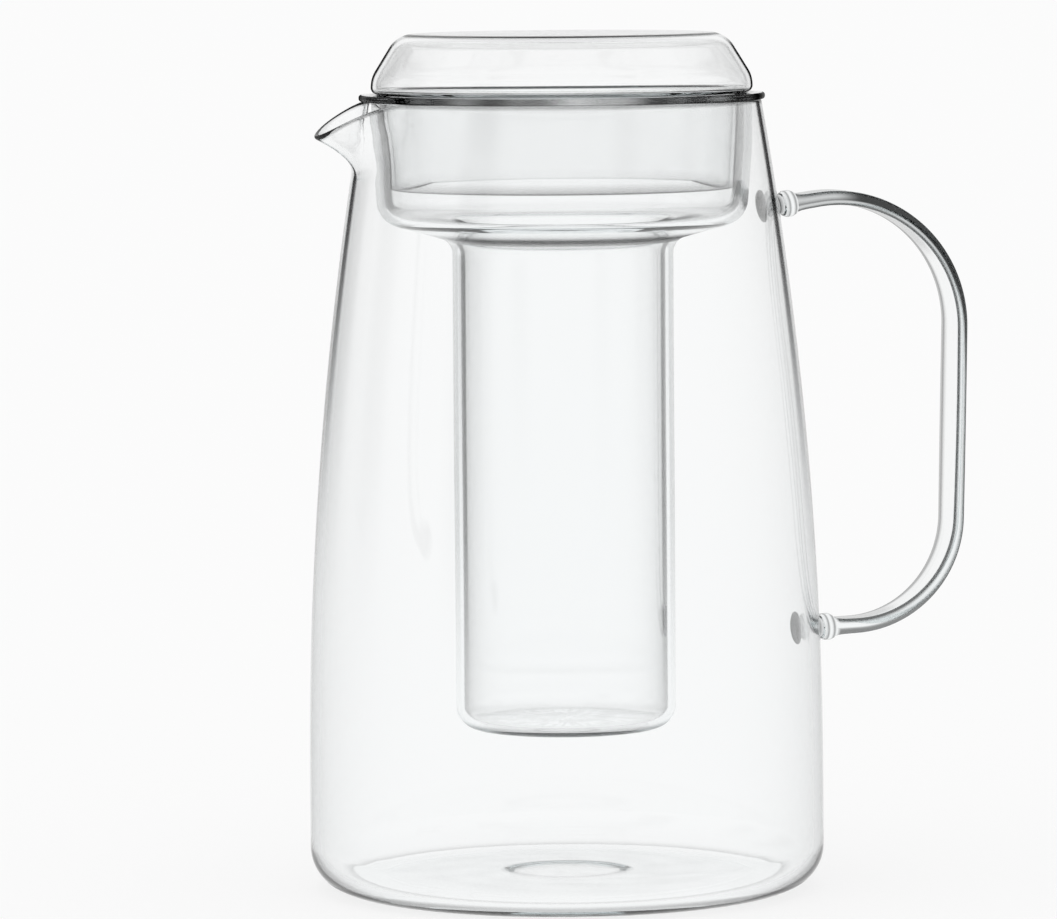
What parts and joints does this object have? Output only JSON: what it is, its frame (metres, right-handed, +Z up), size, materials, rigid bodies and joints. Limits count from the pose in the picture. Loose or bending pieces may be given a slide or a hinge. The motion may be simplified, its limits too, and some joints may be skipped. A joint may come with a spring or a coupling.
{
  "type": "pitcher with ice core",
  "caption": "Clear glass pitcher with a pulled spout and a strap handle, a lift-out ice core that hangs in its mouth, and a hollow lid that sits on the core.",
  "frame": {"origin": "on the jug's upright axis, in the plane of the flat ring that it stands on", "axes": "+Z up along the jug's axis, +X towards the handle, -X towards the spout"},
  "size_m": [0.1769, 0.135, 0.224],
  "materials": {
    "jug_glass": "clear, fire-polished",
    "handle_glass": "clear, fire-polished",
    "core_glass": "clear, fire-polished",
    "lid_glass": "clear, fire-polished"
  },
  "bodies": {
    "jug": {"jug_body": "jug_glass", "upper_handle_post": "handle_glass", "lower_handle_post": "handle_glass", "handle_strap": "handle_glass"},
    "core": {"core_cup": "core_glass", "core_tube": "core_glass"},
    "lid": {"lid": "lid_glass"}
  },
  "joints": [
    {"name": "core_lift", "type": "slide", "parent": "jug", "child": "core", "axis": [0, 0, 1], "range_m": [0, 0.175]},
    {"name": "lid_lift", "type": "slide", "parent": "core", "child": "lid", "axis": [0, 0, 1], "range_m": [0, 0.04]}
  ]
}
